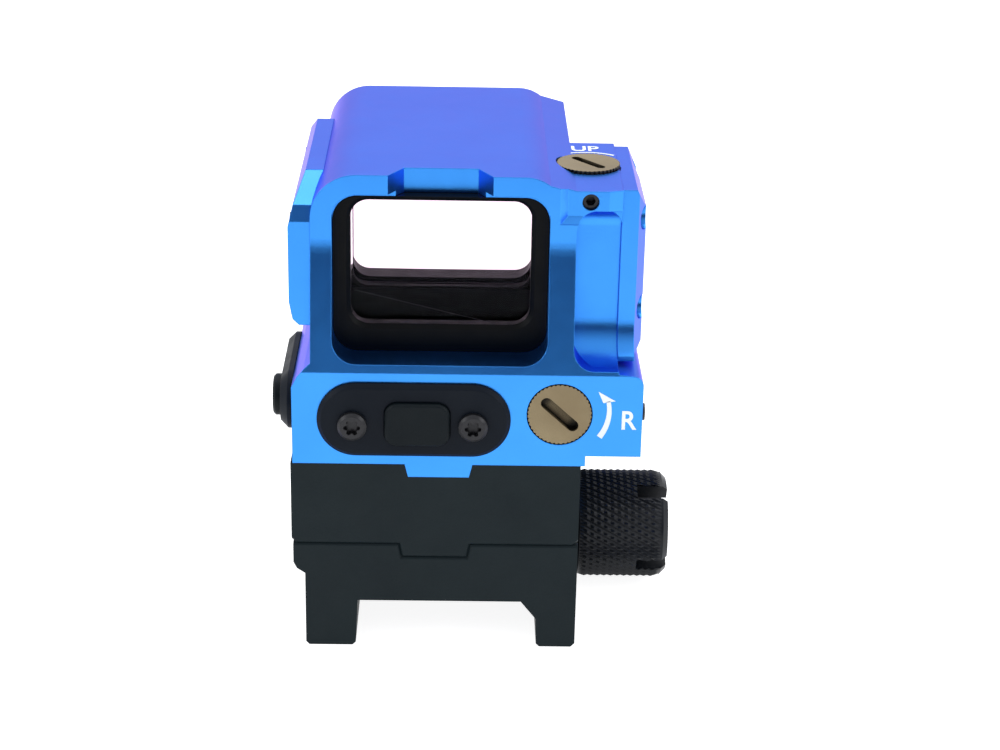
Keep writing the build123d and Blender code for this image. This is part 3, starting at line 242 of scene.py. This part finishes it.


# Painted shade darkens the screwdriver slots of the dials, by ambient occlusion
dial_tree = looks["dial_metal"].node_tree
dial_bsdf = next(n for n in dial_tree.nodes if n.type == "BSDF_PRINCIPLED")
dial_colour = dial_bsdf.inputs["Base Color"].links[0].from_socket
hollow = add(dial_tree, "ShaderNodeAmbientOcclusion", {"Distance": 0.0016}, samples=8)
openness = ranged(dial_tree, hollow.outputs["AO"], 0.0, 1.0, 0.5, 0.85)
# Painted shade: near black where the slot walls close in
painted_slot_shade = mixed_colour(dial_tree, openness, (0.03, 0.03, 0.028), (1, 1, 1))
product = add(dial_tree, "ShaderNodeMix", {0: 1.0}, data_type="RGBA", blend_type="MULTIPLY")
dial_tree.links.new(dial_colour, product.inputs[6])
dial_tree.links.new(painted_slot_shade, product.inputs[7])
dial_tree.links.new(product.outputs[2], dial_bsdf.inputs["Base Color"])


def glass(name, colour, coating):
    """Clear glass with a coating that dims and tints its reflections."""
    mat, tree, bsdf = new_material(name)
    bsdf.inputs["Base Color"].default_value = (*colour, 1)
    bsdf.inputs["Transmission Weight"].default_value = 1.0
    bsdf.inputs["IOR"].default_value = 1.5
    bsdf.inputs["Specular Tint"].default_value = (*coating, 1)
    tree.links.new(ranged(tree, noise(tree, 200.0, 3.0), 0.0, 0.01), bsdf.inputs["Roughness"])
    return mat


def is_above(tree, value, limit):
    """1 where the size of value is over limit, whatever its sign."""
    size = add(tree, "ShaderNodeMath", operation="ABSOLUTE")
    tree.links.new(value, size.inputs[0])
    above = add(tree, "ShaderNodeMath", {1: limit}, operation="GREATER_THAN")
    tree.links.new(size.outputs[0], above.inputs[0])
    return above.outputs[0]


def mixed_shader(tree, factor, first, second):
    mix = add(tree, "ShaderNodeMixShader")
    tree.links.new(factor, mix.inputs[0])
    tree.links.new(first, mix.inputs[1])
    tree.links.new(second, mix.inputs[2])
    return mix.outputs[0]


def prism_glass(name, colour, coating):
    """Glass whose cemented 45 degree faces let light straight through. Its top and floor are painted."""
    mat = glass(name, colour, coating)
    tree = mat.node_tree
    bsdf = next(n for n in tree.nodes if n.type == "BSDF_PRINCIPLED")
    output = next(n for n in tree.nodes if n.type == "OUTPUT_MATERIAL")
    geometry = add(tree, "ShaderNodeNewGeometry")
    normal = add(tree, "ShaderNodeSeparateXYZ")
    tree.links.new(geometry.outputs["True Normal"], normal.inputs[0])
    # x times y is 0.5 on a 45 degree face and 0 on every other face
    slant = add(tree, "ShaderNodeMath", operation="MULTIPLY")
    tree.links.new(normal.outputs[0], slant.inputs[0])
    tree.links.new(normal.outputs[1], slant.inputs[1])
    clear = add(tree, "ShaderNodeBsdfTransparent", {"Color": (0.97, 0.95, 0.96, 1)})
    paint = add(tree, "ShaderNodeBsdfDiffuse", {"Color": (0.002, 0.0025, 0.003, 1)})
    seen = mixed_shader(tree, is_above(tree, slant.outputs[0], 0.3), bsdf.outputs[0], clear.outputs[0])
    whole = mixed_shader(tree, is_above(tree, normal.outputs[2], 0.7), seen, paint.outputs[0])
    tree.links.new(whole, output.inputs["Surface"])
    return mat


looks["optical_glass"] = prism_glass("optical_glass", (0.98, 0.965, 0.975), (0.1, 0.1, 0.13))
looks["coated_lens"] = glass("coated_lens", (0.97, 0.8, 0.93), (0.3, 0.15, 0.25))

SLOTS = {
    "blue_anodised": ["housing", "left_side_plate", "right_cover"],
    "black_anodised": ["riser", "rail_base", "clamp_jaw"],
    "black_plate": ["rear_button_plate", "side_button_plate"],
    "black_lens_frame": ["rear_lens_frame", "prism_cradle", "front_bezel"],
    "black_knurled": ["thumb_nut"],
    "black_steel": ["side_plate_screws", "cover_screws", "rear_plate_screws", "side_plate_key_screws",
                    "elevation_lock_screw", "windage_lock_screw", "base_screws", "riser_screws"],
    "steel": ["mechanism_cover", "guide_pins", "clamp_bolt", "nut_washer"],
    "spring_steel": ["elevation_click_plate", "windage_click_plate", "rear_button_spring",
                     "side_button_spring", "jaw_springs"],
    "dial_metal": ["elevation_dial", "windage_dial"],
    "brass": ["elevation_nut", "windage_fork"],
    "optical_glass": ["prism_rear", "prism_front"],
    "coated_lens": ["front_lens"],
    "rubber": ["lens_gasket", "tray_gasket"],
    "button_rubber": ["rear_button", "side_button"],
    "black_plastic": ["emitter_holder", "rear_switch", "side_switch", "battery_tray"],
    "chip_black": ["board_chips"],
    "circuit_board": ["emitter_board", "main_board"],
    "red_led": ["emitter_led"],
    "cell_steel": ["battery"],
    "contact_gold": ["battery_contacts"],
}
for slot_name, nodes in SLOTS.items():
    for node_name in nodes:
        node = bpy.data.objects[node_name]
        node.data.materials.clear()
        node.data.materials.append(looks[slot_name])


# ---------------------------------------------------------------- made pieces
joints = {joint["name"]: joint for joint in frame["joints"]}


def mesh_piece(name, points, faces, look, body):
    """A mesh piece from points in millimetres."""
    mesh = bpy.data.meshes.new(name)
    mesh.from_pydata([Vector(p) * MM for p in points], [], faces)
    mesh.update()
    piece = bpy.data.objects.new(name, mesh)
    scene.collection.objects.link(piece)
    piece.data.materials.append(looks[look])
    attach(piece, body)
    return piece


# ---------------------------------------------------------------- knurl on the thumb nut
NUT_Z = joints["nut_turn"]["pos_m"][2] / MM
KNURL_BASE = 8.12
KNURL_DEPTH = 0.32
KNURL_STARTS = 46
KNURL_PITCH = 2.1
KNURL_X = (21.9, 34.8)
KNURL_CELL = 4
SLOT_START_X = 30.8
SLOT_HALF = 1.2
SLOT_TURNS = [math.radians(turn) for turn in (28, 118, 208, 298)]
STEP_X = KNURL_PITCH / KNURL_CELL
columns = KNURL_CELL * KNURL_STARTS
rows = int((KNURL_X[1] - KNURL_X[0]) / STEP_X) + 1


def ridge(value):
    """A triangle wave: 0 at whole numbers and 1 halfway between them."""
    return 1.0 - abs(2.0 * (value - math.floor(value)) - 1.0)


def over_slot(x, angle):
    """Whether a place on the nut lies over one of the slots in its end."""
    if x < SLOT_START_X:
        return False
    for turn in SLOT_TURNS:
        side = math.sin(angle - turn) * KNURL_BASE
        if math.cos(angle - turn) > 0 and abs(side) < SLOT_HALF:
            return True
    return False


points = []
for row in range(rows):
    x = KNURL_X[0] + row * STEP_X
    for column in range(columns):
        angle = 2 * math.pi * column / columns
        across = min(ridge((column + row) / KNURL_CELL), ridge((column - row) / KNURL_CELL))
        ends = min(1.0, row, rows - 1 - row)
        radius = KNURL_BASE + KNURL_DEPTH * across * ends
        points.append((x, radius * math.cos(angle), NUT_Z + radius * math.sin(angle)))
faces = []
for row in range(rows - 1):
    middle_x = KNURL_X[0] + (row + 0.5) * STEP_X
    for column in range(columns):
        middle = 2 * math.pi * (column + 0.5) / columns
        if over_slot(middle_x, middle):
            continue
        after = (column + 1) % columns
        low, high = row * columns, (row + 1) * columns
        faces.append((low + column, low + after, high + after, high + column))
mesh_piece("thumb_nut_knurl", points, faces, "black_knurled", "thumb_nut")


# ---------------------------------------------------------------- white markings
MARK_GAP = 0.03
ARC_STEPS = 24
TOP_FACE_Z = joints["elevation_turn"]["pos_m"][2] / MM
REAR_FACE_Y = joints["windage_turn"]["pos_m"][1] / MM
ELEVATION_DIAL = [value / MM for value in joints["elevation_turn"]["pos_m"][:2]]
WINDAGE_ARC_CENTRE = (17.55, 30.9)
WINDAGE_ARC_RADIUS = 6.85
ELEVATION_ARC_RADIUS = 6.55


def on_top(x, y):
    return (x, y, TOP_FACE_Z + MARK_GAP)


def on_rear(x, z):
    return (x, REAR_FACE_Y - MARK_GAP, z)


def band(name, path, widths, place, look="marking_white"):
    """A flat painted stroke that follows path, with its own width at each point."""
    corners = []
    for index, (a, b) in enumerate(path):
        before = path[max(index - 1, 0)]
        after = path[min(index + 1, len(path) - 1)]
        da, db = after[0] - before[0], after[1] - before[1]
        length = math.hypot(da, db)
        half = widths[index] / 2
        corners.append(place(a - db / length * half, b + da / length * half))
        corners.append(place(a + db / length * half, b - da / length * half))
    quads = [(2 * i, 2 * i + 1, 2 * i + 3, 2 * i + 2) for i in range(len(path) - 1)]
    return mesh_piece(name, corners, quads, look, "body")


def arc(centre, radius, start, end):
    """Points on an arc, from start to end in degrees."""
    turns = [math.radians(start + (end - start) * i / ARC_STEPS) for i in range(ARC_STEPS + 1)]
    return [(centre[0] + radius * math.cos(t), centre[1] + radius * math.sin(t)) for t in turns]


def taper(first, last):
    """Stroke widths that change evenly along an arc."""
    return [first + (last - first) * i / ARC_STEPS for i in range(ARC_STEPS + 1)]


def lettering(name, text, low, high, place):
    """Painted capitals that fill the box from low to high on a face."""
    curve = bpy.data.curves.new(name + "_outline", "FONT")
    curve.body = text
    curve.offset = 0.018
    outline = bpy.data.objects.new(name + "_outline", curve)
    scene.collection.objects.link(outline)
    bpy.context.view_layer.update()
    shape = outline.evaluated_get(bpy.context.evaluated_depsgraph_get())
    mesh = bpy.data.meshes.new_from_object(shape)
    bpy.data.objects.remove(outline)
    xs = [v.co.x for v in mesh.vertices]
    ys = [v.co.y for v in mesh.vertices]
    for v in mesh.vertices:
        a = low[0] + (high[0] - low[0]) * (v.co.x - min(xs)) / (max(xs) - min(xs))
        b = low[1] + (high[1] - low[1]) * (v.co.y - min(ys)) / (max(ys) - min(ys))
        v.co = Vector(place(a, b)) * MM
    mesh.materials.clear()
    mesh.materials.append(looks["marking_white"])
    piece = bpy.data.objects.new(name, mesh)
    scene.collection.objects.link(piece)
    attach(piece, "body")


# Windage: an arrow round the dial, then the letter R
wind = arc(WINDAGE_ARC_CENTRE, WINDAGE_ARC_RADIUS, -36, 13)
arrow_head = [on_rear(22.75, 33.95), on_rear(25.25, 32.5), on_rear(23.5, 32.2)]
band("mark_windage_arc", wind, taper(0.85, 0.6), on_rear)
mesh_piece("mark_windage_head", arrow_head, [(0, 1, 2)], "marking_white", "body")
lettering("mark_r", "R", (26.25, 28.1), (28.4, 31.0), on_rear)

# Elevation: a curved stroke behind the dial, then the letters UP
elev = arc(ELEVATION_DIAL, ELEVATION_ARC_RADIUS, 52, 122)
band("mark_elevation_arc", elev, taper(0.42, 0.3), on_top)
lettering("mark_up", "UP", (19.1, 0.95), (23.2, 3.5), on_top)

# A grey strip painted as the highlight along the edge of the cemented joint, just above the floor of the
# prism. It crosses x = 0 at JOINT_Y
JOINT_HALF = 13.3
JOINT_Y = -1.0
JOINT_WIDTH = 0.12
joint_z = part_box("prism_rear")[0][2] / MM + 0.06
painted_joint_highlight = [(-JOINT_HALF, JOINT_Y + JOINT_HALF), (JOINT_HALF, JOINT_Y - JOINT_HALF)]
band("prism_joint_line", painted_joint_highlight, [JOINT_WIDTH] * 2, lambda x, y: (x, y, joint_z), "painted_joint_highlight")


# ---------------------------------------------------------------- button springs
def pressed_spring(node_name):
    """A copy of a spring, fixed to the body, that takes the place of the hidden original."""
    source = bpy.data.objects[node_name]
    coil = bpy.data.objects.new(node_name + "_coil", source.data.copy())
    scene.collection.objects.link(coil)
    coil.matrix_world = source.matrix_world.copy()
    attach(coil, "body")
    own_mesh(coil)
    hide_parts(node_name)


pressed_spring("rear_button_spring")
pressed_spring("side_button_spring")


# ---------------------------------------------------------------- floor, light and surroundings
FLOOR_Z = box_at_load[0][2]
FLOOR_GAP = 0.00002


def plain(name, colour, rough, specular):
    mat, tree, bsdf = new_material(name)
    bsdf.inputs["Base Color"].default_value = (*colour, 1)
    bsdf.inputs["Roughness"].default_value = rough
    bsdf.inputs["Specular IOR Level"].default_value = specular
    return mat, bsdf


bpy.ops.mesh.primitive_plane_add(size=12.0, location=(0, 3.0, FLOOR_Z - FLOOR_GAP))
floor = bpy.context.object
floor.name = "floor"
floor_mat, floor_bsdf = plain("floor_pale", (0.5, 0.5, 0.5), 0.85, 0.1)
floor_bsdf.inputs["Emission Color"].default_value = (1, 1, 1, 1)
floor_bsdf.inputs["Emission Strength"].default_value = 0.9
floor.data.materials.append(floor_mat)

# A dark card upright under the camera, which shows only in reflections
CARD_AT = (0, -0.42, 0.075)
CARD_WIDTH = 0.5
CARD_HEIGHT = 0.165
bpy.ops.mesh.primitive_plane_add(size=1.0, location=CARD_AT, rotation=(math.radians(90), 0, 0))
card = bpy.context.object
card.name = "dark_card"
card.scale = (CARD_WIDTH, CARD_HEIGHT, 1.0)
card.data.materials.append(plain("card_dark", (0.002, 0.004, 0.02), 0.9, 0.0)[0])
card.visible_camera = False
card.visible_diffuse = False
card.visible_shadow = False


def area_light(name, at, aim, size, power, colour=(1, 1, 1)):
    data = bpy.data.lights.new(name, "AREA")
    data.shape = "RECTANGLE"
    data.size, data.size_y = size
    data.energy = power
    data.color = colour
    lamp = bpy.data.objects.new(name, data)
    scene.collection.objects.link(lamp)
    lamp.location = at
    lamp.rotation_mode = "QUATERNION"
    lamp.rotation_quaternion = (Vector(aim) - Vector(at)).to_track_quat("-Z", "Y")
    return lamp


AIM = (0, 0, 0.03)
area_light("overhead", (0.0, 0.35, 0.9), AIM, (0.9, 0.7), 5.5)
area_light("left_soft", (-0.8, -0.3, 0.5), AIM, (0.5, 0.5), 2.0)
area_light("right_soft", (0.8, -0.3, 0.5), AIM, (0.5, 0.5), 2.0)

# The surroundings are pale, but darken behind the camera, where the slanted blue faces look
world = bpy.data.worlds.new("surroundings")
scene.world = world
world.use_nodes = True
sky = world.node_tree
background = next(n for n in sky.nodes if n.type == "BACKGROUND")
coords = add(sky, "ShaderNodeTexCoord")
direction = add(sky, "ShaderNodeSeparateXYZ")
sky.links.new(coords.outputs["Generated"], direction.inputs[0])
height = ranged(sky, direction.outputs[2], 0.0, 1.0, -1.0, 1.0)


def gradient(stops):
    """Colours by height, where 0.5 is the horizon and 1 is straight up."""
    ramp = add(sky, "ShaderNodeValToRGB")
    sky.links.new(height, ramp.inputs[0])
    elements = ramp.color_ramp.elements
    for index, (place, colour) in enumerate(stops):
        stop = elements[index] if index < 2 else elements.new(place)
        stop.position = place
        stop.color = (*colour, 1)
    return ramp.outputs[0]


behind_camera = gradient([(0.49, (0.9, 0.9, 0.9)), (0.5, (0.045, 0.06, 0.22)), (0.62, (0.05, 0.05, 0.2)),
                          (0.72, (0.5, 0.5, 0.55)), (0.9, (0.9, 0.9, 0.95))])
elsewhere = gradient([(0.5, (0.85, 0.85, 0.88)), (0.8, (1.0, 1.0, 1.04))])
blend = add(sky, "ShaderNodeMix", data_type="RGBA")
sky.links.new(ranged(sky, direction.outputs[1], 0.0, 1.0, -0.8, -0.55), blend.inputs[0])
sky.links.new(behind_camera, blend.inputs[6])
sky.links.new(elsewhere, blend.inputs[7])
sky.links.new(blend.outputs[2], background.inputs[0])
scene.view_settings.view_transform = "Standard"
